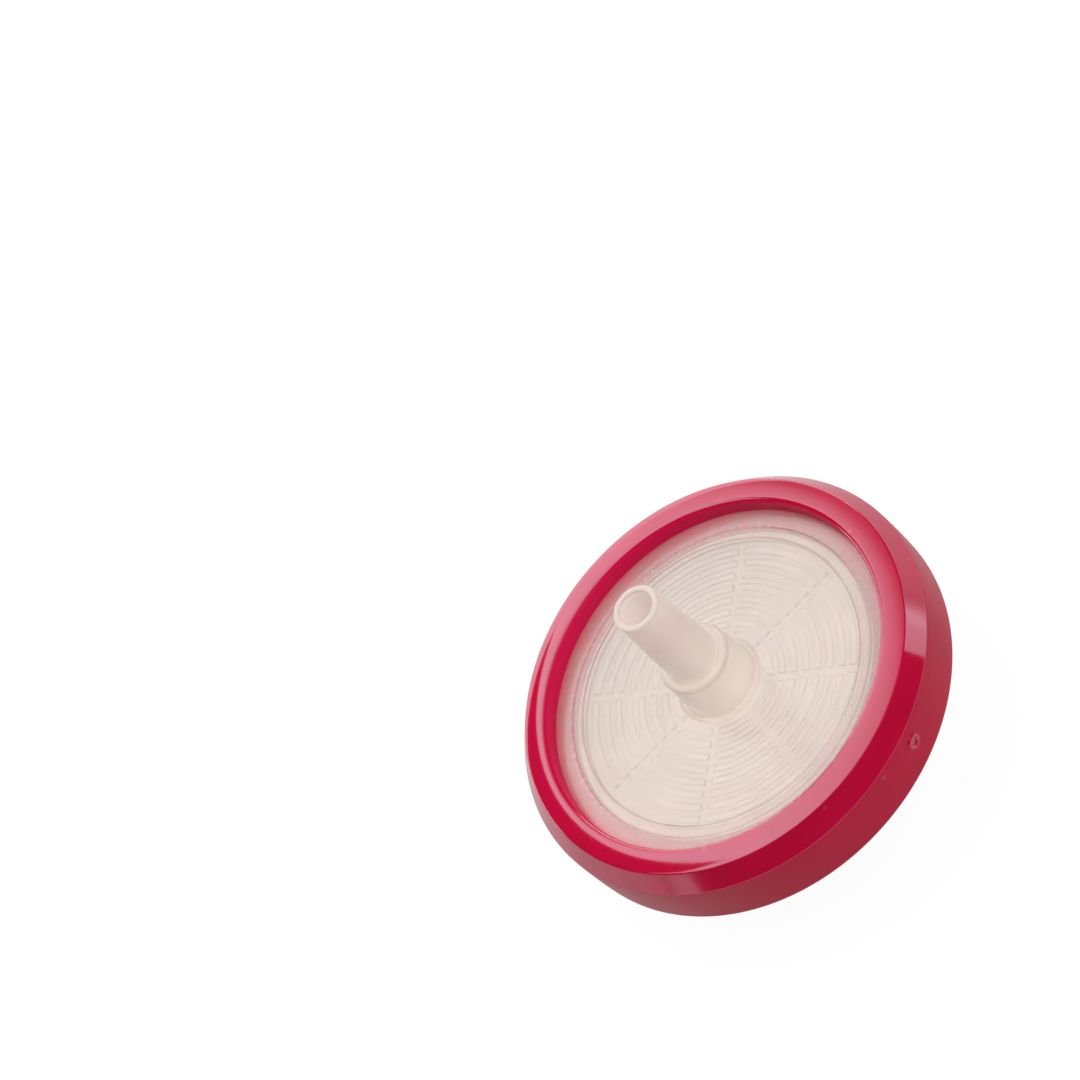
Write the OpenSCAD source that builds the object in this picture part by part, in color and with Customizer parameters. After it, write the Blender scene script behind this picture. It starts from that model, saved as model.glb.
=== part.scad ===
// Syringe filter with an overmoulded rim ring.
// It stands on the mouth of its inlet socket, with the outlet nozzle pointing up (+Z).
// The origin is the centre of the inlet mouth. All sizes are in millimetres.

/* [Membrane and plates] */
// Open diameter of the membrane, inside the clamped band
filter_d = 24.8; // [20:0.1:30]
// Thickness of the membrane
membrane_t = 0.2; // [0.12:0.01:0.3]
// Gap round the membrane in its seat
membrane_clearance = 0.1; // [0.05:0.01:0.2]
// Width of the band that clamps the membrane's edge
clamp_w = 0.9; // [0.7:0.05:1.2]
// Thickness of the outlet plate
outlet_plate_t = 0.8; // [0.7:0.05:1.4]
// Thickness of the inlet plate
inlet_plate_t = 1.5; // [1:0.05:2]
// Width of the band where the two plates meet
joint_w = 1.9; // [1.6:0.05:2.4]

/* [Witness rings] */
// Width of the two fine grooves on the outlet plate's face
witness_w = 0.2; // [0.1:0.02:0.3]
// Depth of those grooves
witness_depth = 0.07; // [0.04:0.01:0.15]

/* [Grip teeth] */
// Number of grip teeth round the clamped band
grip_teeth = 96; // [48:4:120]
// Length of a grip tooth along the radius
grip_tooth = 0.6; // [0.4:0.05:0.8]
// Width of the pocket outside the teeth
pocket_gap = 0.4; // [0.3:0.05:0.5]
// Depth of the pocket that the teeth stand in
pocket_depth = 0.35; // [0.2:0.05:0.5]

/* [Drain field] */
// Height of the drain's support ribs
drain_h = 0.3; // [0.2:0.05:0.6]
// Radius of the innermost ring rib
first_rib_r = 4.15; // [3.5:0.05:5]
// Spacing of the ring ribs
rib_pitch = 1.06; // [0.85:0.01:1.4]
// Width of a ring rib at the plate
rib_w = 0.6; // [0.4:0.02:0.8]
// Number of radial channels through the ribs
channel_count = 8; // [4:2:12]
// Width of a radial channel
channel_w = 0.7; // [0.5:0.05:1]

/* [Feed side] */
// Height of the gap on the inlet side of the membrane
feed_gap = 0.5; // [0.3:0.05:0.7]
// Clearance between the inlet's low ribs and the membrane
feed_clearance = 0.1; // [0.05:0.01:0.2]

/* [Rim ring] */
// How far the ring's lips reach in over the plates
lip_grip = 1.35; // [1:0.05:1.8]
// Height of the lip's outer edge above the outlet plate
outlet_lip = 1.36; // [1:0.02:2]
// Height of the ring's lip beyond the inlet plate
inlet_lip = 1.7; // [1.2:0.02:2.4]
// Width of the lip's crowned face on the outlet side
lip_w = 2.07; // [1.6:0.01:2.6]
// How much higher the crown is near its inner side than at its outer edge
lip_crown = 0.22; // [0.1:0.01:0.4]
// Width of the glossy slope round the outlet side
slope_w = 1.08; // [0.8:0.02:1.4]
// Drop of that slope along the axis
slope_drop = 1.66; // [1.2:0.02:2.2]
// How much narrower in radius the outer wall is at its foot
wall_draft = 0.08; // [0:0.01:0.2]
// How far the outer wall bulges between its edges
wall_bulge = 0.05; // [0.01:0.01:0.1]
// Rounding of the ring's foot
foot_round = 0.5; // [0.3:0.05:0.8]
// Diameter of the gate mark on the outer wall
gate_d = 0.9; // [0.6:0.1:1.2]
// Direction of the gate mark, in degrees from +X
gate_turn = -65; // [-180:5:180]
// Distance of the gate mark below the outlet plate's face
gate_drop = 1.9; // [1.4:0.1:2.5]

/* [Outlet nozzle] */
// Height of the collar at the nozzle's base
collar_h = 4.3; // [3:0.1:5.5]
// Rounding of the collar's upper edge
collar_round = 0.4; // [0.2:0.05:0.6]
// Rounding of the corner between the collar and the cone
cone_fillet = 0.35; // [0.2:0.05:0.6]
// Diameter of the slip tip at its end
tip_d = 3.99; // [3.93:0.01:4]
// Length of the tip's cone above the collar
tip_len = 8.7; // [7.2:0.1:10.5]
// Wall of the tip at its end
tip_wall = 0.53; // [0.42:0.01:0.7]
// Diameter of the passage where it meets the drain
drain_hole_d = 2.2; // [1.8:0.1:2.6]

/* [Inlet socket] */
// Length of the socket below the inlet plate
socket_len = 9.4; // [7.5:0.1:11]
// Inner diameter at the socket's mouth
socket_bore_d = 4.3; // [4.27:0.01:4.32]
// Depth of the tapered socket
socket_depth = 7.6; // [6.5:0.1:8]
// Wall of the socket at its mouth
socket_wall = 1.15; // [1:0.01:1.4]
// How far the locking lugs stand out
lug_h = 0.6; // [0.5:0.01:0.75]
// Angle that each lug covers, in degrees
lug_sweep = 56; // [40:2:70]
// Width of a lug along the axis, at its root
lug_root = 1.35; // [1:0.05:1.6]
// Width of a lug along the axis, at its crest
lug_crest = 0.75; // [0.5:0.05:0.95]
// Diameter of the feed hole through the inlet plate
feed_d = 2.2; // [1.6:0.1:3]

/* [Hidden] */
$fn = 128;

luer_taper = 0.06;      // change of diameter over length, on both cones
lug_lead = 5;           // rise of the lock thread in one turn
luer_lean = atan(luer_taper / 2);
sunk = 0.15;            // how far a rib or lug is rooted in its wall
past = 1;               // how far a cut starts outside the face it cuts
channel_sides = 2;      // one straight cut makes a channel on each side
edge = 0.1;             // broken edges of the moulded plastic
shoulder_flat = 0.02;   // flat left between the collar's two roundings
collar_spread = 0.15;   // how much wider in radius the collar is at its foot
socket_spread = 0.35;   // how much wider in radius the socket is at the plate

// levels along the axis
inlet_face_z = socket_len;
inlet_inner_z = inlet_face_z + inlet_plate_t;
membrane_z = inlet_inner_z + feed_gap;
drain_z = membrane_z + membrane_t;
outlet_inner_z = drain_z + drain_h;
outlet_face_z = outlet_inner_z + outlet_plate_t;
collar_z = outlet_face_z + collar_h;
tip_z = collar_z + tip_len;
lip_z = outlet_face_z + outlet_lip;
foot_z = inlet_face_z - inlet_lip;

// radii, from the membrane outwards
filter_r = filter_d / 2;
clamp_r = filter_r + clamp_w;
membrane_r = clamp_r - membrane_clearance;
pocket_r = clamp_r + grip_tooth + pocket_gap;
plate_r = pocket_r + joint_w;
window_r = plate_r - lip_grip;
lip_edge_r = window_r + lip_w;
ring_r = lip_edge_r + slope_w;

// the drain holds as many ring ribs as fit inside the clamped band
rib_count = floor((filter_r - rib_w / 2 - first_rib_r) / rib_pitch) + 1;

// radii of the nozzle and the socket
tip_r = tip_d / 2;
tip_bore_r = tip_r - tip_wall;
cone_foot_r = tip_r + luer_taper / 2 * tip_len;
collar_r = cone_foot_r + cone_fillet + shoulder_flat + collar_round;
collar_foot_r = collar_r + collar_spread;
drain_hole_r = drain_hole_d / 2;
socket_bore_r = socket_bore_d / 2;
socket_floor_r = socket_bore_r - luer_taper / 2 * socket_depth;
socket_r = socket_bore_r + socket_wall;
socket_foot_r = socket_r + socket_spread;
lug_r = socket_r + lug_h;
feed_r = feed_d / 2;

natural = [0.90, 0.87, 0.83, 0.75];
white = [0.97, 0.96, 0.94];
crimson = [0.72, 0.03, 0.20];

// Points on a circle about c, from angle a to angle b.
function arc(c, r, a, b, n = 6) =
    [for (i = [0:n]) let (t = a + (b - a) * i / n) c + r * [cos(t), sin(t)]];

// Points on the arc from p to q that stands out by rise to the left of the way there.
function bow(p, q, rise, n = 8) =
    let (
        way = q - p,
        half = norm(way) / 2,
        left = [-way[1], way[0]] / (2 * half),
        r = (half * half + rise * rise) / (2 * rise),
        c = (p + q) / 2 - left * (r - rise),
        a = atan2(p[1] - c[1], p[0] - c[0]),
        b = atan2(q[1] - c[1], q[0] - c[0]),
        turn = (b - a > 180) ? b - a - 360 : (b - a < -180) ? b - a + 360 : b - a
    )
    arc(c, abs(r), a, a + turn, n);

// The outline of a disc whose edge is a row of pointed teeth, between radius r and r + tooth.
function toothed(r, tooth, count) =
    [for (i = [0:2 * count - 1])
        let (t = 180 / count * i, s = r + (i % 2) * tooth)
        s * [cos(t), sin(t)]];

module revolve(outline) {
    rotate_extrude() polygon(outline);
}

// One ring rib of the drain: wide at the plate, narrower where it carries the membrane.
module ring_rib(r, w, z_low, z_high) {
    slim = 0.06;
    revolve([
        [r - w / 2, z_high],
        [r - w / 2 + slim, z_low],
        [r + w / 2 - slim, z_low],
        [r + w / 2, z_high]
    ]);
}

// Straight cuts across the whole field, each one a pair of radial channels.
module channel_cuts(z_low, z_high) {
    cuts = channel_count / channel_sides;
    for (i = [0:cuts - 1])
        rotate([0, 0, i * 180 / cuts])
            translate([-filter_r, -channel_w / 2, z_low])
                cube([2 * filter_r, channel_w, z_high - z_low]);
}

// Concentric ribs cut by radial channels, which lead the filtrate to the middle.
module drain_field() {
    difference() {
        for (i = [0:rib_count - 1])
            ring_rib(first_rib_r + i * rib_pitch, rib_w, drain_z, outlet_inner_z + sunk);
        channel_cuts(drain_z - past, outlet_inner_z);
    }
}

// Low radial ribs that keep the membrane off the inlet plate.
module feed_ribs() {
    end_gap = 1;
    rib_len = filter_r - first_rib_r - end_gap;
    rib_top = membrane_z - feed_clearance;
    for (i = [0:channel_count - 1])
        rotate([0, 0, (i + 0.5) * 360 / channel_count])
            translate([first_rib_r, -rib_w / 2, inlet_inner_z - sunk])
                cube([rib_len, rib_w, rib_top - inlet_inner_z + sunk]);
}

// The corners of a fine groove at radius r in the outlet plate's face, from its outer side inwards.
function witness_groove(r) = [
    [r + witness_w / 2, outlet_face_z],
    [r, outlet_face_z - witness_depth],
    [r - witness_w / 2, outlet_face_z]
];

// The pocket that the melt of the ring locks into, with pointed teeth on its inner side.
module grip_pocket() {
    translate([0, 0, drain_z - past])
        linear_extrude(past + pocket_depth)
            difference() {
                circle(pocket_r);
                polygon(toothed(clamp_r, grip_tooth, grip_teeth));
            }
}

module outlet_housing() {
    fillet = 0.5;
    flare = 0.6;
    tip_round = 0.22;
    bore_land = 0.45;
    bore_step = 0.05;
    cone_foot = [cone_foot_r, collar_z + cone_fillet];
    color(natural)
        difference() {
            union() {
                revolve(concat(
                    [
                        [drain_hole_r + flare, outlet_inner_z],
                        [filter_r, outlet_inner_z],
                        [filter_r, drain_z],
                        [plate_r, drain_z],
                        [plate_r, outlet_face_z]
                    ],
                    witness_groove(clamp_r),
                    witness_groove(filter_r),
                    arc([collar_foot_r + fillet, outlet_face_z + fillet], fillet, 270, 180),
                    arc([collar_r - collar_round, collar_z - collar_round], collar_round, 0, 90),
                    arc(cone_foot + [cone_fillet, 0], cone_fillet, 270, 180),
                    arc([tip_r - tip_round, tip_z - tip_round], tip_round, luer_lean, 90),
                    arc([tip_bore_r + edge, tip_z - edge], edge, 90, 180, 3),
                    [
                        [tip_bore_r, tip_z - bore_land],
                        [tip_bore_r - bore_step, tip_z - bore_land - bore_step],
                        [drain_hole_r, outlet_inner_z + flare]
                    ]
                ));
                drain_field();
            }
            grip_pocket();
        }
}

// One lug of the lock: a short stretch of right-hand thread, with tapered flanks.
module lug() {
    steps = 14;
    root_r = socket_r - sunk;
    rise = lug_lead * lug_sweep / 360;
    mouth_gap = 0.25;
    first_z = mouth_gap + lug_root / 2;
    end_share = 0.82;
    sharpness = 8;
    // the crest is lower at both ends, so that the lug runs in smoothly
    function crest_r(s) = lug_r - end_share * lug_h * pow(abs(2 * s - 1), sharpness);
    function section(s) =
        let (
            t = (s - 0.5) * lug_sweep,
            z = first_z + rise * s,
            way = [cos(t), sin(t)],
            out = crest_r(s)
        )
        [
            [root_r * way[0], root_r * way[1], z - lug_root / 2],
            [out * way[0], out * way[1], z - lug_crest / 2],
            [out * way[0], out * way[1], z + lug_crest / 2],
            [root_r * way[0], root_r * way[1], z + lug_root / 2]
        ];
    points = [for (i = [0:steps]) for (p = section(i / steps)) p];
    sides = [
        for (i = [0:steps - 1])
            for (k = [0:3])
                let (a = 4 * i + k, b = 4 * i + (k + 1) % 4)
                [a, b, b + 4, a + 4]
    ];
    ends = [[3, 2, 1, 0], [4 * steps, 4 * steps + 1, 4 * steps + 2, 4 * steps + 3]];
    polyhedron(points, concat(sides, ends), convexity = 4);
}

module inlet_housing() {
    fillet = 0.6;
    flare = 0.5;
    lead_in = 0.12;
    floor_drop = 0.5;
    color(natural)
        union() {
            revolve(concat(
                [
                    [socket_bore_r + lead_in, 0],
                    [socket_bore_r, lead_in],
                    [socket_floor_r, socket_depth],
                    [feed_r, socket_depth + floor_drop],
                    [feed_r, inlet_inner_z - flare],
                    [feed_r + flare, inlet_inner_z],
                    [filter_r, inlet_inner_z],
                    [filter_r, membrane_z],
                    [clamp_r, membrane_z],
                    [clamp_r, drain_z],
                    [plate_r, drain_z],
                    [plate_r, inlet_face_z]
                ],
                arc([socket_foot_r + fillet, inlet_face_z - fillet], fillet, 90, 180),
                arc([socket_r - edge, edge], edge, 0, -90, 3)
            ));
            feed_ribs();
            for (side = [0, 180])
                rotate([0, 0, side])
                    lug();
        }
}

module membrane() {
    color(white)
        translate([0, 0, membrane_z])
            cylinder(r = membrane_r, h = membrane_t);
}

// A small round gate mark, proud of the outer wall.
module gate_mark() {
    proud = 0.12;
    narrowing = 0.25;
    rotate([0, 0, gate_turn])
        translate([ring_r - wall_draft - sunk, 0, outlet_face_z - gate_drop])
            rotate([0, 90, 0])
                cylinder(d1 = gate_d, d2 = gate_d - narrowing, h = sunk + proud);
}

module overmould_ring() {
    lip_round = 0.42;
    edge_rise = 0.03;
    // the crown is an arc that starts level and falls to the outer edge
    crown_top = [window_r + lip_round, lip_z + lip_crown];
    crown_end = [lip_edge_r - edge, lip_z];
    crown_run = crown_end[0] - crown_top[0];
    crown_r = (crown_run * crown_run + lip_crown * lip_crown) / (2 * lip_crown);
    crown_turn = asin(crown_run / crown_r);
    slope_start = [lip_edge_r + edge / 2, lip_z - edge];
    slope_end = [ring_r - edge / 2, lip_z - slope_drop + edge / 2];
    wall_start = [ring_r, lip_z - slope_drop - edge / 2];
    foot_r = ring_r - wall_draft;
    color(crimson)
        union() {
            revolve(concat(
                [[window_r, outlet_face_z]],
                arc(crown_top - [0, lip_round], lip_round, 180, 100),
                arc(crown_top - [0, crown_r], crown_r, 90, 90 - crown_turn, 10),
                bow(crown_end, slope_start, edge_rise, 3),
                [slope_end],
                bow(wall_start, [foot_r, foot_z + foot_round], wall_bulge),
                arc([foot_r - foot_round, foot_z + foot_round], foot_round, 0, -90),
                arc([window_r + lip_round, foot_z + lip_round], lip_round, 270, 180),
                [
                    [window_r, inlet_face_z],
                    [plate_r, inlet_face_z],
                    [plate_r, outlet_face_z]
                ]
            ));
            gate_mark();
        }
}

inlet_housing();
membrane();
outlet_housing();
overmould_ring();
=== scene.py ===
from math import asin, atan2, cos, hypot, pi, radians, sin

import bmesh
import bpy
from mathutils import Matrix, Vector


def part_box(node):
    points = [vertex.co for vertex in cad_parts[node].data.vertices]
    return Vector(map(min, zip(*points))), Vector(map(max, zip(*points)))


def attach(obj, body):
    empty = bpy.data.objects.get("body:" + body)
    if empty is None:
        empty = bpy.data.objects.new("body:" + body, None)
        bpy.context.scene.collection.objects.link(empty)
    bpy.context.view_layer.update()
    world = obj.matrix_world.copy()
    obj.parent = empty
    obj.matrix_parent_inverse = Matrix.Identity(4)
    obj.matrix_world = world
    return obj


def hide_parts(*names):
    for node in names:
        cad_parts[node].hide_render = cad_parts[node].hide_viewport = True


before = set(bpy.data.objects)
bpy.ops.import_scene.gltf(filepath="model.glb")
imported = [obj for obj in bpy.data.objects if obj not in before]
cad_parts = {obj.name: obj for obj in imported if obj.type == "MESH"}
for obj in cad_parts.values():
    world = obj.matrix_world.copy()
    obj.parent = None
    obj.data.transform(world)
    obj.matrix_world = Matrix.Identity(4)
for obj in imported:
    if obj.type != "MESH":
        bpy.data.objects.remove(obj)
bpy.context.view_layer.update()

MM = 0.001
FULL_TURN = 2 * pi


def cad_size(node):
    """Lowest level, highest level and radius of a CAD node, in millimetres."""
    low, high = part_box(node)
    return tuple(round(length / MM, 2) for length in (low.z, high.z, high.x))


# Levels and radii of the filter. The pieces are drawn in millimetres, and brought to their
# size in metres at the end.
SEAT, DRAIN, MEMBRANE_R = cad_size("membrane")
SOCKET_MOUTH, _, PLATE_R = cad_size("inlet_housing")
_, TIP_TOP, _ = cad_size("outlet_housing")
RING_FOOT, LIP_TOP, _ = cad_size("overmould_ring")
INLET_FACE, INLET_INNER = 9.4, 10.9
OUTLET_INNER, OUTLET_FACE, COLLAR_TOP = 11.9, 12.7, 17.0
FILTER_R, CLAMP_R, POCKET_R = 12.4, 13.3, 14.3
COLLAR_FOOT_R, COLLAR_R, LEDGE_R = 3.19, 3.01, 2.32
CONE_FOOT_R, TIP_R, TIP_BORE_R = 2.267, 1.99, 1.465
SOCKET_R, MOUTH_R, SOCKET_END_R, SOCKET_DEPTH, HOLE_R = 3.3, 2.15, 1.922, 7.6, 1.1
WINDOW_R, RING_R, SLOPE_FOOT = 14.85, 18.0, 12.37
SKIN = 0.01             # clear air between pieces that lie on each other
BEDDED = 0.02           # how deep the ring is bedded on the plates
ROOTED = 0.15           # how deep ribs and lugs are rooted in their wall
WITNESS_W, WITNESS_DEPTH = 0.1, 0.07    # half width and depth of the fine rings on the outlet face
GATE_WAY, GATE_LEVEL = radians(-65), OUTLET_FACE - 1.9


# ---------------------------------------------------------------- modelling
def start_fresh():
    if bpy.context.mode != "OBJECT":
        bpy.ops.object.mode_set(mode="OBJECT")
    bpy.ops.object.select_all(action="DESELECT")


def edit(piece):
    """Opens one piece in edit mode, alone."""
    start_fresh()
    piece.select_set(True)
    bpy.context.view_layer.objects.active = piece
    bpy.ops.object.mode_set(mode="EDIT")


def pick(test, kind="VERT"):
    """Selects the corners or faces whose middle passes the test."""
    bpy.ops.mesh.select_mode(type=kind)
    bpy.ops.mesh.select_all(action="DESELECT")
    mesh = bpy.context.edit_object.data
    shape = bmesh.from_edit_mesh(mesh)
    for part in {"VERT": shape.verts, "FACE": shape.faces}[kind]:
        if kind == "VERT":
            middle = part.co
        else:
            middle = sum((v.co for v in part.verts), Vector()) / len(part.verts)
        if test(middle):
            part.select_set(True)
    shape.select_flush_mode()
    bmesh.update_edit_mesh(mesh)


def at(r, z, near=0.002):
    """A test for a corner of a section that is drawn at radius r and height z."""
    return lambda p: abs(p.x - r) < near and abs(p.z - z) < near and abs(p.y) < near


def draw_section(name, corners):
    """Draws a closed section in the XZ plane, corner by corner, and rounds the corners that say so.
    A corner is (radius, height), or (radius, height, length of the rounding, segments)."""
    start_fresh()
    bpy.ops.mesh.primitive_plane_add(size=1)
    piece = bpy.context.object
    piece.name = piece.data.name = name
    bpy.ops.object.mode_set(mode="EDIT")
    bpy.ops.mesh.select_mode(type="VERT")
    bpy.ops.mesh.select_all(action="SELECT")
    bpy.ops.mesh.merge(type="CENTER")
    pen = Vector((0, 0, 0))
    for i, corner in enumerate(corners):
        place = Vector((corner[0], 0, corner[1]))
        if i == 0:
            bpy.ops.transform.translate(value=place - pen)
        else:
            bpy.ops.mesh.extrude_region_move(TRANSFORM_OT_translate={"value": place - pen})
        pen = place
    first, last = at(*corners[0][:2]), at(*corners[-1][:2])
    pick(lambda p: first(p) or last(p))
    bpy.ops.mesh.edge_face_add()
    for corner in corners:
        if len(corner) > 2:
            pick(at(*corner[:2]))
            bpy.ops.mesh.bevel(offset_type="OFFSET", offset=corner[2], segments=corner[3],
                               affect="VERTICES")
    return piece


def turn_round(steps):
    """Turns the section that is drawn into a closed solid of revolution."""
    bpy.ops.mesh.select_mode(type="VERT")
    bpy.ops.mesh.select_all(action="SELECT")
    bpy.ops.mesh.spin(steps=steps, angle=FULL_TURN, center=(0, 0, 0), axis=(0, 0, 1))
    face_outwards()


def turn_part(steps, angle):
    """Turns the section that is drawn into a closed stretch of a ring, from -angle to 0."""
    bpy.ops.mesh.select_all(action="SELECT")
    bpy.ops.mesh.edge_face_add()
    bpy.ops.mesh.select_all(action="SELECT")
    bpy.ops.mesh.spin(steps=steps, angle=angle, center=(0, 0, 0), axis=(0, 0, 1))
    face_outwards()


def turn_forwards(angle):
    """Turns what is selected round the Z axis, in the direction from +X to +Y."""
    bpy.ops.transform.rotate(value=-angle, orient_axis="Z", center_override=(0, 0, 0))


def copies_round(count):
    """Makes the piece in edit mode into count copies round the Z axis; count is a power of two."""
    made = 1
    while made < count:
        bpy.ops.mesh.select_all(action="SELECT")
        bpy.ops.mesh.duplicate()
        turn_forwards(FULL_TURN / count * made)
        made *= 2


def face_outwards():
    bpy.ops.mesh.select_all(action="SELECT")
    bpy.ops.mesh.remove_doubles(threshold=0.0005)
    bpy.ops.mesh.normals_make_consistent(inside=False)


def join(pieces):
    """Joins pieces into the first one."""
    start_fresh()
    for piece in pieces:
        piece.select_set(True)
    bpy.context.view_layer.objects.active = pieces[0]
    bpy.ops.object.join()
    return pieces[0]


def unite(piece, addition):
    """Unites a piece and an addition into one closed skin."""
    start_fresh()
    piece.select_set(True)
    bpy.context.view_layer.objects.active = piece
    bpy.ops.object.modifier_add(type="BOOLEAN")
    union = piece.modifiers[-1]
    union.operation = "UNION"
    union.solver = "EXACT"
    union.object = addition
    bpy.ops.object.modifier_apply(modifier=union.name)
    bpy.data.objects.remove(addition)


def bring_to_size(piece, material, stands_for, crease=30):
    """Brings a piece from millimetres to metres, smooths it, gives it its material, hangs it under the root
    body and hides the CAD node it stands for.
    """
    edit(piece)
    bpy.ops.mesh.select_all(action="SELECT")
    bpy.ops.transform.resize(value=(MM, MM, MM), center_override=(0, 0, 0))
    bpy.ops.object.mode_set(mode="OBJECT")
    bpy.ops.object.shade_smooth_by_angle(angle=radians(crease))
    bpy.ops.object.modifier_add(type="WEIGHTED_NORMAL")
    piece.modifiers[-1].keep_sharp = True
    bpy.ops.object.modifier_apply(modifier=piece.modifiers[-1].name)
    piece.data.materials.clear()
    piece.data.materials.append(material)
    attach(piece, "root")
    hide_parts(stands_for)


def coat_faces(piece, material, test):
    """Gives the faces whose middle passes the test another material; the test works in millimetres."""
    piece.data.materials.append(material)
    edit(piece)
    pick(lambda p: test(p / MM), kind="FACE")
    piece.active_material_index = len(piece.data.materials) - 1
    bpy.ops.object.material_slot_assign()
    bpy.ops.object.mode_set(mode="OBJECT")


# ---------------------------------------------------------------- materials
def srgb(r, g, b):
    return tuple(((c / 255 + 0.055) / 1.055) ** 2.4 if c > 10 else c / 255 / 12.92 for c in (r, g, b))


class Tree:
    """Adds nodes to a node tree, and links them."""

    def __init__(self, tree):
        self.tree = tree

    def add(self, kind, *sources, **settings):
        """A node; each source is a socket, a value, or None, in the order of the node's inputs."""
        made = self.tree.nodes.new("ShaderNode" + kind)
        for key, value in settings.items():
            setattr(made, key, value)
        for socket, source in zip(made.inputs, sources):
            self.feed(socket, source)
        return made

    def feed(self, socket, source):
        if source is None:
            return
        if isinstance(source, bpy.types.NodeSocket):
            self.tree.links.new(source, socket)
        elif isinstance(source, bpy.types.Node):
            self.tree.links.new(source.outputs[0], socket)
        else:
            socket.default_value = source

    def maths(self, operation, *sources):
        return self.add("Math", *sources, operation=operation).outputs[0]

    def mix(self, share, first, second):
        """A colour between two colours, by a share from 0 to 1."""
        return self.add("Mix", share, None, None, None, None, None, colour(first), colour(second),
                        data_type="RGBA").outputs[2]

    def off(self, value, middle):
        """How far a value is from a middle."""
        return self.maths("ABSOLUTE", self.maths("SUBTRACT", value, middle))

    def ramp(self, value, low, high, first=0.0, last=1.0):
        return self.add("MapRange", value, low, high, first, last).outputs[0]


def colour(value):
    return (*srgb(*value), 1) if isinstance(value, tuple) and len(value) == 3 else value


def new_material(name, **sockets):
    material = bpy.data.materials.new(name)
    material.use_nodes = True
    shader = material.node_tree.nodes["Principled BSDF"]
    for key, value in sockets.items():
        shader.inputs[key.replace("_", " ").title().replace("Ior", "IOR")].default_value = value
    return material, Tree(material.node_tree), shader


def new_group(name, inputs, outputs):
    group = bpy.data.node_groups.new(name, "ShaderNodeTree")
    for label, value in inputs.items():
        socket = group.interface.new_socket(label, in_out="INPUT", socket_type="NodeSocketFloat")
        socket.default_value = value
    for label in outputs:
        group.interface.new_socket(label, in_out="OUTPUT", socket_type="NodeSocketFloat")
    return group, Tree(group), group.nodes.new("NodeGroupInput"), group.nodes.new("NodeGroupOutput")


# Where a point of the surface lies on the filter: its radius, its height, and its direction
places, t, _, out = new_group("filter_place", {}, ["Radius", "Height", "Along X", "Along Y"])
xyz = t.add("SeparateXYZ", t.add("TexCoord").outputs["Object"])
radius = t.maths("SQRT", t.maths("ADD", t.maths("MULTIPLY", xyz.outputs[0], xyz.outputs[0]),
                                 t.maths("MULTIPLY", xyz.outputs[1], xyz.outputs[1])))
safe = t.maths("MAXIMUM", radius, 0.1 * MM)
for label, value in (("Radius", t.maths("DIVIDE", radius, MM)),
                     ("Height", t.maths("DIVIDE", xyz.outputs[2], MM)),
                     ("Along X", t.maths("DIVIDE", xyz.outputs[0], safe)),
                     ("Along Y", t.maths("DIVIDE", xyz.outputs[1], safe))):
    t.feed(out.inputs[label], value)

# Fine grain of a moulded skin, slow cloudy change, and small specks, with their sizes in millimetres
skin, t, given, out = new_group("moulded_skin", {"Grain size": 0.3, "Cloud size": 5.0, "Speck size": 1.2},
                                ["Grain", "Cloud", "Specks"])
place = t.add("TexCoord").outputs["Object"]


def noise_of(size, detail):
    return t.add("TexNoise", place, None, t.maths("DIVIDE", 1 / MM, given.outputs[size]), detail).outputs[0]


t.feed(out.inputs["Grain"], noise_of("Grain size", 2.0))
t.feed(out.inputs["Cloud"], t.ramp(noise_of("Cloud size", 3.0), 0.3, 0.7))
cells = t.add("TexVoronoi", place, None, t.maths("DIVIDE", 1 / MM, given.outputs["Speck size"]))
sparse = t.maths("GREATER_THAN", t.add("SeparateColor", cells.outputs["Color"]).outputs[0], 0.6)
dots = t.ramp(cells.outputs["Distance"], 0.05, 0.14, 1.0, 0.0)
t.feed(out.inputs["Specks"], t.maths("MULTIPLY", sparse, dots))


def use_group(t, group, **values):
    node = t.add("Group", node_tree=group)
    for label, value in values.items():
        node.inputs[label.replace("_", " ").capitalize()].default_value = value
    return node.outputs


def feed_bump(t, shader, height, strength, depth):
    """Feeds a height to the shader's normal; the depth is in millimetres."""
    node = t.add("Bump")
    node.inputs["Strength"].default_value = strength
    node.inputs["Distance"].default_value = depth * MM
    t.feed(node.inputs["Height"], height)
    t.feed(shader.inputs["Normal"], node)


# crimsons of the ring; the pale crimson and the lit crimson are painted light, on its bonded faces and on
# the lip's inner wall
CRIMSON, CRIMSON_DEEP, CRIMSON_SPECK = (187, 0, 54), (178, 0, 47), (235, 120, 140)
PAINTED_PALE_CRIMSON, PAINTED_LIT_CRIMSON = (240, 92, 126), (218, 0, 76)
# the nozzle's tone is lighter than the plate's; this is painted light, as its upright walls get less of the
# overhead light than the level plate
PLATE_TONE, NOZZLE_TONE = (212, 204, 198), (246, 238, 226)
# specks; a darker natural tone, which is painted shade on the nozzle's up-facing faces; and the melt's
# pink, made bright as painted light
NATURAL_SPECK, NATURAL_PAINTED_SHADE, MELT_AND_GLOW_PINK = (200, 180, 170), (198, 176, 163), (252, 112, 140)
SPECK_SHARE = 0.15


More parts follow.
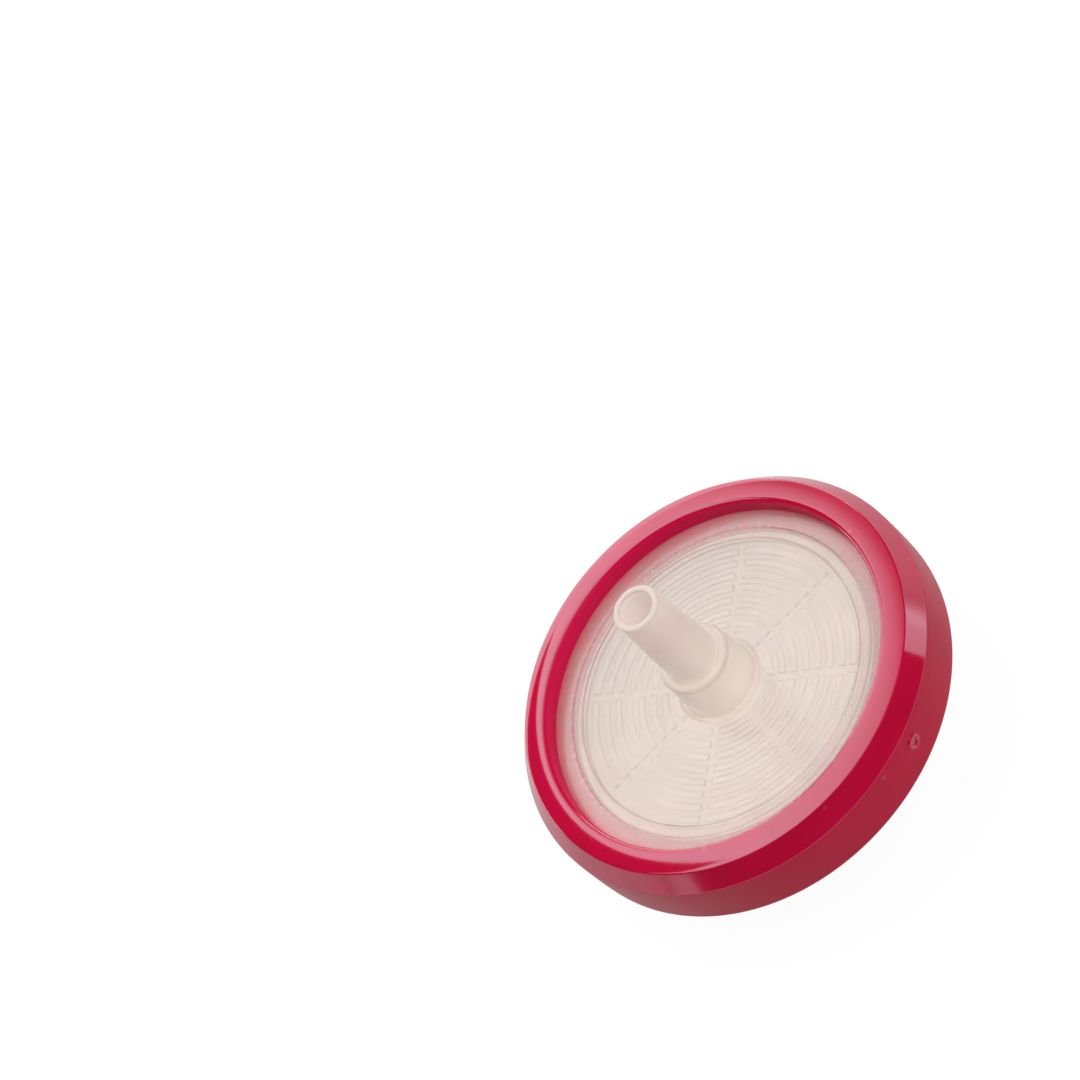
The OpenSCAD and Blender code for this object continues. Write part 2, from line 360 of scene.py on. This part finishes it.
def crimson_material(name, roughness, grain_size, grain_depth, **sockets):
    material, t, shader = new_material(name, **sockets)
    place = use_group(t, places)
    skin_out = use_group(t, skin, grain_size=grain_size, cloud_size=4.0, speck_size=2.2)
    # painted light: where the ring is bonded to the milky plates, its colour is made paler, standing for
    # light that the milky plastic scatters over it
    bonded = t.maths("MULTIPLY", t.maths("LESS_THAN", place["Radius"], PLATE_R + 0.05),
                     t.maths("LESS_THAN", place["Height"], OUTLET_FACE - 0.01))
    body = t.mix(skin_out["Cloud"], CRIMSON, CRIMSON_DEEP)
    body = t.mix(t.maths("MULTIPLY", skin_out["Specks"], SPECK_SHARE), body, CRIMSON_SPECK)
    # painted light: the inner wall of the lip is given a brighter crimson, standing for light from the
    # plate beside it that gets into the plastic
    inner = t.maths("MULTIPLY", t.maths("LESS_THAN", place["Radius"], WINDOW_R + 0.3),
                    t.ramp(place["Height"], LIP_TOP - 0.06, LIP_TOP - 0.25))
    t.feed(shader.inputs["Base Color"], t.mix(bonded, t.mix(inner, body, PAINTED_LIT_CRIMSON), PAINTED_PALE_CRIMSON))
    t.feed(shader.inputs["Roughness"], t.maths("MULTIPLY_ADD", skin_out["Cloud"], 0.03, roughness))
    feed_bump(t, shader, skin_out["Grain"], 0.3, grain_depth)
    return material


crimson = crimson_material("crimson_plastic", 0.07, 0.9, 0.004, ior=1.6, specular_ior_level=0.85,
                           specular_tint=(0.80, 0.83, 1.0, 1))
crimson_satin = crimson_material("crimson_satin", 0.36, 0.16, 0.006, ior=1.5, specular_ior_level=0.2)


def natural_material(name, tone, roughness, soft_through, **sockets):
    """Milky natural plastic; soft_through is the share of scattered light that it lets by."""
    material, t, shader = new_material(name, ior=1.55, **sockets)
    place = use_group(t, places)
    skin_out = use_group(t, skin, grain_size=0.5, cloud_size=3.0, speck_size=1.6)
    paler = tuple(min(255, c + 5) for c in tone)
    body = t.mix(skin_out["Cloud"], tone, paler)
    body = t.mix(t.maths("MULTIPLY", skin_out["Specks"], SPECK_SHARE), body, NATURAL_SPECK)
    # painted shade: the nozzle's ledge, its foot and the brim of its tip face up and catch more light, so
    # their colour is darkened to look no lighter than its walls
    ledge = t.maths("MULTIPLY", t.maths("GREATER_THAN", place["Radius"], LEDGE_R),
                    t.ramp(t.off(place["Height"], COLLAR_TOP - 0.1), 0.15, 0.45, 1.0, 0.0))
    foot = t.maths("MULTIPLY", t.maths("LESS_THAN", place["Radius"], 3.8),
                   t.ramp(t.off(place["Height"], OUTLET_FACE + 0.1), 0.15, 0.6, 0.8, 0.0))
    brim = t.ramp(place["Height"], TIP_TOP - 0.3, TIP_TOP - 0.1, 0.0, 0.6)
    painted_shade = t.maths("MAXIMUM", t.maths("MAXIMUM", ledge, foot), brim)
    body = t.mix(t.maths("MULTIPLY", painted_shade, 0.6), body, NATURAL_PAINTED_SHADE)
    # a film of the ring's melt colours the faces inside the plates, from the grip teeth outwards; its pink
    # is made bright, which is painted light standing for light that the milky plastic scatters where the
    # lip shades it
    inside = t.maths("LESS_THAN", place["Height"], OUTLET_FACE - 0.3)
    melt_and_glow = t.maths("MULTIPLY", t.ramp(place["Radius"], CLAMP_R - 0.1, CLAMP_R + 0.1),
                   t.ramp(place["Radius"], CLAMP_R, PLATE_R, 0.35, 1.0))
    # the melt ran in along the teeth, in streaks that point to the middle
    spokes = t.add("CombineXYZ", t.maths("MULTIPLY", place["Along X"], 14.0),
                   t.maths("MULTIPLY", place["Along Y"], 14.0),
                   t.maths("MULTIPLY", place["Radius"], 0.35))
    streaks = t.ramp(t.add("TexNoise", spokes, None, 1.6, 2.0).outputs[0], 0.4, 0.65)
    melt_and_glow = t.maths("MULTIPLY", melt_and_glow, t.ramp(streaks, 0.0, 1.0, 0.75, 1.2))
    # painted glow: on the outer faces the melt's pink tints the plate near the ring, in place of the lip's
    # shade, and a little of it shows on the fine rings
    witness = t.maths("LESS_THAN", t.maths("MINIMUM", t.off(place["Radius"], FILTER_R),
                                           t.off(place["Radius"], CLAMP_R)), WITNESS_W)
    near_ring = t.ramp(place["Radius"], 14.2, 15.2, 0.0, 0.5)
    near_teeth = t.ramp(place["Radius"], 12.6, 14.0, 0.0, 0.16)
    glow = t.maths("MAXIMUM", near_ring, t.maths("MULTIPLY", witness, 0.14))
    glow = t.maths("MAXIMUM", glow, t.maths("MULTIPLY", streaks, near_teeth))
    melt_and_glow = t.maths("ADD", t.maths("MULTIPLY", melt_and_glow, inside),
                   t.maths("MULTIPLY", glow, t.maths("SUBTRACT", 1.0, inside)))
    t.feed(shader.inputs["Base Color"], t.mix(melt_and_glow, body, MELT_AND_GLOW_PINK))
    t.feed(shader.inputs["Roughness"], t.maths("MULTIPLY_ADD", skin_out["Cloud"], 0.03, roughness))
    feed_bump(t, shader, skin_out["Grain"], 0.3, 0.004)
    # the milky plastic lets the lamps' light and scattered light through
    path = t.add("LightPath")
    soft = t.maths("MAXIMUM", t.maths("MULTIPLY", path.outputs["Is Shadow Ray"], 0.98),
                   t.maths("MULTIPLY", t.maths("MAXIMUM", path.outputs["Is Diffuse Ray"],
                                               path.outputs["Is Transmission Ray"]), soft_through))
    t.feed(t.tree.nodes["Material Output"].inputs["Surface"],
           t.add("MixShader", soft, shader, t.add("BsdfTransparent")))
    return material


natural = natural_material("natural_plastic", PLATE_TONE, 0.19, 0.0, transmission_weight=0.75)
natural_rib_wall = natural_material("natural_rib_wall", PLATE_TONE, 0.19, 0.34, transmission_weight=0.75)
natural_nozzle = natural_material("natural_nozzle", NOZZLE_TONE, 0.65, 0.98, transmission_weight=0.52)

white, t, shader = new_material("membrane_white", ior=1.45)
skin_out = use_group(t, skin, grain_size=0.25, cloud_size=6.0, speck_size=2.0)
t.feed(shader.inputs["Base Color"], t.mix(skin_out["Cloud"], (223, 212, 206), (227, 217, 212)))
t.feed(shader.inputs["Roughness"], t.maths("MULTIPLY_ADD", skin_out["Grain"], 0.2, 0.55))
feed_bump(t, shader, skin_out["Grain"], 0.4, 0.01)

# ---------------------------------------------------------------- rim ring
CROWN_R, LIP_EDGE_R, LIP_EDGE, BELLY_R, BELLY, FOOT_R = 16.063, 16.925, 14.03, 18.06, 10.3, 17.9
rim_ring = draw_section("rim_ring", [
    (WINDOW_R, OUTLET_FACE - BEDDED),
    (WINDOW_R, LIP_TOP, 0.42, 8),
    (CROWN_R, LIP_TOP, 0.79, 16),
    (LIP_EDGE_R, LIP_EDGE, 0.1, 5),
    (RING_R, SLOPE_FOOT, 0.08, 4),
    (BELLY_R, BELLY, 2.0, 12),
    (FOOT_R, RING_FOOT, 0.5, 8),
    (WINDOW_R, RING_FOOT, 0.42, 8),
    (WINDOW_R, INLET_FACE + BEDDED),
    (PLATE_R - BEDDED, INLET_FACE + BEDDED),
    (PLATE_R - BEDDED, OUTLET_FACE - BEDDED),
])
turn_round(256)

# the gate mark on the outer wall: a small round stub with a torn-off middle, drawn lying down
gate_mark = draw_section("gate_mark", [
    (0, -ROOTED),
    (0.7, -ROOTED),
    (0.68, 0.03),
    (0.58, 0.19, 0.05, 3),
    (0.38, 0.17, 0.04, 3),
    (0.26, 0.03),
    (0, 0.06),
])
turn_round(32)
bpy.ops.mesh.select_all(action="SELECT")
bpy.ops.transform.rotate(value=-pi / 2, orient_axis="Y", center_override=(0, 0, 0))
bpy.ops.transform.translate(value=(RING_R - 0.01, 0, GATE_LEVEL))
turn_forwards(GATE_WAY)
face_outwards()
unite(rim_ring, gate_mark)
bring_to_size(rim_ring, crimson, "overmould_ring", crease=50)


def satin_wall(p):
    """The lip's inner wall and the outer wall are satin; the crown, the slope and the gate mark gloss."""
    r = hypot(p.x, p.y)
    inner_wall = p.z < LIP_TOP - 0.15 and r < WINDOW_R + 0.25
    outer_wall = p.z < SLOPE_FOOT and WINDOW_R + 0.5 < r < RING_R + 0.02
    bonded = r < PLATE_R + 0.1 and p.z > INLET_FACE - 0.1
    return inner_wall or outer_wall and not bonded


coat_faces(rim_ring, crimson_satin, satin_wall)

# ---------------------------------------------------------------- outlet side
TEETH, TOOTH = 96, 0.6
outlet_shell = draw_section("outlet_shell", [
    (1.7, OUTLET_INNER),
    (FILTER_R, OUTLET_INNER),
    (FILTER_R, DRAIN + SKIN),
    (CLAMP_R, DRAIN + SKIN),
    (CLAMP_R, DRAIN + 0.35),
    (POCKET_R, DRAIN + 0.35),
    (POCKET_R, DRAIN + SKIN),
    (PLATE_R, DRAIN + SKIN),
    (PLATE_R, OUTLET_FACE),
    (CLAMP_R + WITNESS_W, OUTLET_FACE, 0.03, 2),
    (CLAMP_R, OUTLET_FACE - WITNESS_DEPTH, 0.03, 2),
    (CLAMP_R - WITNESS_W, OUTLET_FACE, 0.03, 2),
    (FILTER_R + WITNESS_W, OUTLET_FACE, 0.03, 2),
    (FILTER_R, OUTLET_FACE - WITNESS_DEPTH, 0.03, 2),
    (FILTER_R - WITNESS_W, OUTLET_FACE, 0.03, 2),
    (COLLAR_FOOT_R, OUTLET_FACE, 0.5, 6),
    (COLLAR_R, COLLAR_TOP, 0.4, 8),
    (CONE_FOOT_R, COLLAR_TOP, 0.35, 6),
    (TIP_R, TIP_TOP, 0.22, 8),
    (TIP_BORE_R, TIP_TOP, 0.1, 4),
    (TIP_BORE_R, TIP_TOP - 0.45),
    (TIP_BORE_R - 0.05, TIP_TOP - 0.5),
    (HOLE_R, OUTLET_FACE - 0.2),
])
turn_round(2 * TEETH)


def tooth_tip(p):
    """A test for every second corner of the clamp's edge, which becomes the tip of a grip tooth."""
    step = round(atan2(p.y, p.x) / (pi / TEETH))
    return step % 2 and abs(hypot(p.x, p.y) - CLAMP_R) < 0.01 and p.z < DRAIN + 0.4


pick(tooth_tip)
bpy.ops.transform.resize(value=((CLAMP_R + TOOTH) / CLAMP_R, (CLAMP_R + TOOTH) / CLAMP_R, 1),
                         center_override=(0, 0, 0))

# the drain's ribs: the stretches between two channels, copied round
RIBS, FIRST_RIB, RIB_PITCH, RIB_W, RIB_SLIM = 8, 4.15, 1.06, 0.6, 0.06
CHANNELS, CHANNEL_W = 8, 0.7
rib_rows = []
for i in range(RIBS):
    r = FIRST_RIB + i * RIB_PITCH
    half_channel = asin(CHANNEL_W / 2 / r)
    rib_rows.append(draw_section("drain_rib", [
        (r - RIB_W / 2, OUTLET_INNER + ROOTED),
        (r - RIB_W / 2 + RIB_SLIM, DRAIN + SKIN),
        (r + RIB_W / 2 - RIB_SLIM, DRAIN + SKIN),
        (r + RIB_W / 2, OUTLET_INNER + ROOTED),
    ]))
    turn_part(12, FULL_TURN / CHANNELS - 2 * half_channel)
    turn_forwards(-half_channel)
drain_ribs = join(rib_rows)
edit(drain_ribs)
copies_round(CHANNELS)
unite(outlet_shell, drain_ribs)
bring_to_size(outlet_shell, natural, "outlet_housing")
coat_faces(outlet_shell, natural_nozzle, lambda p: p.z > OUTLET_FACE + 0.1)


def long_rib_wall(p):
    """A test for the long walls of the drain's ribs, and not for their ends at the channels."""
    r = hypot(p.x, p.y)
    way = atan2(p.y, p.x) % (FULL_TURN / CHANNELS)
    from_channel = r * sin(min(way, FULL_TURN / CHANNELS - way))
    between_faces = DRAIN + 0.05 < p.z < OUTLET_INNER - 0.05
    return between_faces and r < FILTER_R - 0.1 and from_channel > CHANNEL_W / 2 + 0.03


# the long walls are drawn softly, as they look through cloudy plastic
coat_faces(outlet_shell, natural_rib_wall, long_rib_wall)

# ---------------------------------------------------------------- inlet side
inlet_shell = draw_section("inlet_shell", [
    (MOUTH_R + 0.12, SOCKET_MOUTH),
    (MOUTH_R, SOCKET_MOUTH + 0.12),
    (SOCKET_END_R, SOCKET_DEPTH),
    (HOLE_R, SOCKET_DEPTH + 0.5),
    (HOLE_R, INLET_INNER - 0.5),
    (HOLE_R + 0.5, INLET_INNER),
    (FILTER_R, INLET_INNER),
    (FILTER_R, SEAT - SKIN),
    (CLAMP_R, SEAT - SKIN),
    (CLAMP_R, DRAIN - SKIN),
    (PLATE_R, DRAIN - SKIN),
    (PLATE_R, INLET_FACE),
    (3.65, INLET_FACE, 0.6, 6),
    (SOCKET_R, SOCKET_MOUTH, 0.1, 3),
])
turn_round(192)

# low radial ribs that hold the membrane off the inlet plate
feed_rib = draw_section("feed_ribs", [
    (FIRST_RIB, INLET_INNER - ROOTED),
    (FIRST_RIB, SEAT - 0.1),
    (FILTER_R - 1.0, SEAT - 0.1),
    (FILTER_R - 1.0, INLET_INNER - ROOTED),
])
bpy.ops.mesh.select_all(action="SELECT")
bpy.ops.mesh.edge_face_add()
bpy.ops.transform.translate(value=(0, -RIB_W / 2, 0))
bpy.ops.mesh.extrude_region_move(TRANSFORM_OT_translate={"value": (0, RIB_W, 0)})
face_outwards()
bpy.ops.mesh.select_all(action="SELECT")
turn_forwards(pi / CHANNELS)
copies_round(CHANNELS)
unite(inlet_shell, feed_rib)

# the two lock lugs: stretches of a right-hand thread that fade at both ends
LUG_H, LUG_SWEEP, LUG_ROOT, LUG_CREST, LUG_STEPS = 0.6, radians(56), 1.35, 0.75, 14
THREAD_LEAD, LUG_START = 5, 0.25
LUG_RISE = THREAD_LEAD * LUG_SWEEP / FULL_TURN
FIRST_LUG_Z = LUG_START + LUG_ROOT / 2
lugs = draw_section("lock_lugs", [
    (SOCKET_R - ROOTED, FIRST_LUG_Z - LUG_ROOT / 2),
    (SOCKET_R + LUG_H, FIRST_LUG_Z - LUG_CREST / 2),
    (SOCKET_R + LUG_H, FIRST_LUG_Z + LUG_CREST / 2),
    (SOCKET_R - ROOTED, FIRST_LUG_Z + LUG_ROOT / 2),
])
turn_part(LUG_STEPS, LUG_SWEEP)
turn_forwards(LUG_SWEEP / 2)
face_outwards()


def on_step(i, outside=0.0):
    """A test for the corners on one step of the lug, beyond a radius."""
    way = LUG_SWEEP * (i / LUG_STEPS - 0.5)
    return lambda p: abs(atan2(p.y, p.x) - way) < 0.01 and hypot(p.x, p.y) > outside


for i in range(LUG_STEPS + 1):
    share = i / LUG_STEPS
    crest_r = SOCKET_R + LUG_H - 0.82 * LUG_H * abs(2 * share - 1) ** 8
    shrink = crest_r / (SOCKET_R + LUG_H)
    pick(on_step(i, SOCKET_R))
    bpy.ops.transform.resize(value=(shrink, shrink, 1), center_override=(0, 0, 0))
    pick(on_step(i))
    bpy.ops.transform.translate(value=(0, 0, LUG_RISE * share))
face_outwards()
copies_round(2)
unite(inlet_shell, lugs)
bring_to_size(inlet_shell, natural, "inlet_housing")
coat_faces(inlet_shell, natural_nozzle, lambda p: p.z < INLET_FACE - 0.1)

# ---------------------------------------------------------------- membrane
membrane = draw_section("filter_membrane", [
    (0, SEAT),
    (MEMBRANE_R, SEAT, 0.03, 2),
    (MEMBRANE_R, DRAIN, 0.03, 2),
    (0, DRAIN),
])
turn_round(128)
bring_to_size(membrane, white, "membrane")


# ---------------------------------------------------------------- camera
def towards(azimuth, elevation):
    """The direction from the filter to a place at this azimuth and elevation, in degrees."""
    a, e = radians(azimuth), radians(elevation)
    return Vector((sin(a) * cos(e), -cos(a) * cos(e), sin(e)))


def look_from(azimuth, elevation, roll):
    """Right, up and back directions of a camera that stands at this azimuth and elevation."""
    a, r = radians(azimuth), radians(roll)
    back = towards(azimuth, elevation)
    level = Vector((cos(a), sin(a), 0))
    upright = back.cross(level)
    right = cos(r) * level + sin(r) * upright
    up = -sin(r) * level + cos(r) * upright
    return right, up, back


VIEW_DISTANCE = 400 * MM
# the plate's middle lies right of and below the middle of the view
VIEW_OFFSET = (13.96 * MM, -10.92 * MM)
right, up, back = look_from(azimuth=5.5, elevation=46.9, roll=-49.5)
camera_data = bpy.data.cameras.new("studio_camera")
camera_data.sensor_width = 36
camera_data.lens = 171.6
camera_data.clip_start = 0.01
camera_data.clip_end = 20
camera = bpy.data.objects.new("studio_camera", camera_data)
bpy.context.scene.collection.objects.link(camera)
face_middle = Vector((0, 0, OUTLET_FACE * MM))
eye = face_middle - VIEW_OFFSET[0] * right - VIEW_OFFSET[1] * up + VIEW_DISTANCE * back
camera.matrix_world = Matrix.Translation(eye) @ Matrix((right, up, back)).transposed().to_4x4()
bpy.context.scene.camera = camera

# ---------------------------------------------------------------- floor
start_fresh()
bpy.ops.mesh.primitive_plane_add(size=6, location=(0, 0, -0.05 * MM))
floor = bpy.context.object
floor.name = "floor"
floor_white, t, shader = new_material("floor_white", base_color=(0.62, 0.62, 0.62, 1), roughness=0.9,
                                      specular_ior_level=0)
path = t.add("LightPath")
mirrored = t.maths("MAXIMUM", path.outputs["Is Glossy Ray"], path.outputs["Is Transmission Ray"])
glow = t.add("Emission", (1, 1, 1, 1), 1.05)
cover = t.maths("MAXIMUM", t.maths("MULTIPLY", path.outputs["Is Camera Ray"], 0.9),
                t.maths("MULTIPLY", mirrored, 0.25))
# seen from beneath, the floor is clear, so that the underside shows
beneath = t.maths("MULTIPLY", path.outputs["Is Camera Ray"], t.add("NewGeometry").outputs["Backfacing"])
t.feed(t.tree.nodes["Material Output"].inputs["Surface"],
       t.add("MixShader", beneath, t.add("MixShader", cover, shader, glow), t.add("BsdfTransparent")))
floor.data.materials.append(floor_white)


# ---------------------------------------------------------------- light
def area_light(name, place, aim, width, height, radiance, fade=None):
    """A rectangular lamp that is as bright all over as radiance says."""
    data = bpy.data.lights.new(name, "AREA")
    data.shape = "RECTANGLE"
    data.size, data.size_y = width, height
    data.energy = radiance * width * height * pi
    if fade:
        # the panel's brightness changes from one side to the other
        data.use_nodes = True
        t = Tree(data.node_tree)
        across = t.maths("SUBTRACT", 1.0, t.add("SeparateXYZ", t.add("NewGeometry").outputs["Parametric"]))
        bright = 0.0
        for (first, low), (last, high) in zip(fade, fade[1:]):
            bright = t.maths("ADD", bright, t.ramp(across, first, last, 0.0, high - low))
        t.feed(t.tree.nodes["Emission"].inputs["Strength"], t.maths("ADD", bright, fade[0][1]))
    lamp = bpy.data.objects.new(name, data)
    bpy.context.scene.collection.objects.link(lamp)
    lamp.location = place
    lamp.rotation_mode = "QUATERNION"
    lamp.rotation_quaternion = (Vector(place) - Vector(aim)).to_track_quat("Z", "Y")
    lamp.visible_camera = False
    return lamp


def ceiling_panel(name, x, y, radiance, height=0.6, fade=None):
    """A level panel overhead; x and y are its edges, as multiples of its height over the filter."""
    middle = face_middle + height * Vector(((x[0] + x[1]) / 2, (y[0] + y[1]) / 2, 1))
    return area_light(name, middle, middle - Vector((0, 0, 1)), height * (x[1] - x[0]),
                      height * (y[1] - y[0]), radiance, fade)


PANEL, BACK_HEIGHT = 2.2, 0.34
ceiling_panel("main_panel", (-0.33, 0.83), (-0.25, 1.75), PANEL,
              fade=[(0.0, 1.18), (0.2, 1.0), (0.45, 0.6), (0.58, 0.3), (0.68, 0.16), (1.0, 0.2)])
ceiling_panel("front_panel", (-0.95, -0.33), (-0.25, 0.33), PANEL)
area_light("back_panel", face_middle + Vector((-0.15, 1.2, BACK_HEIGHT)),
           face_middle + Vector((-0.15, 0, BACK_HEIGHT)), 2.7, 2 * BACK_HEIGHT, PANEL)
area_light("small_softbox", face_middle + 0.8 * towards(83, 5), face_middle, 0.37, 0.112, 1.8)
front_fill = area_light("front_fill", face_middle + 1.0 * towards(35, 45), face_middle, 0.8, 0.6, 4.2)
top_fill = area_light("top_fill", face_middle + Vector((0.1, 0.2, 0.8)), face_middle, 0.6, 0.6, 1.2)
# the fills light the filter and don't show in its gloss
for fill in (front_fill, top_fill):
    fill.visible_glossy = False

FILL = 0.05
world = bpy.data.worlds.new("studio")
bpy.context.scene.world = world
world.use_nodes = True
t = Tree(world.node_tree)
sky = t.tree.nodes["Background"]
path = t.add("LightPath")
direction = t.add("SeparateXYZ", t.add("TexCoord").outputs["Generated"])
low = t.maths("LESS_THAN", direction.outputs[2], 0.05)
mirrored = t.maths("MAXIMUM", path.outputs["Is Glossy Ray"], path.outputs["Is Transmission Ray"])
backdrop = t.maths("MAXIMUM", path.outputs["Is Camera Ray"], t.maths("MULTIPLY", mirrored, low))
t.feed(sky.inputs["Strength"], t.maths("MULTIPLY_ADD", backdrop, 1 - FILL, FILL))
sky.inputs["Color"].default_value = (1, 1, 1, 1)

bpy.context.scene.view_settings.view_transform = "Standard"
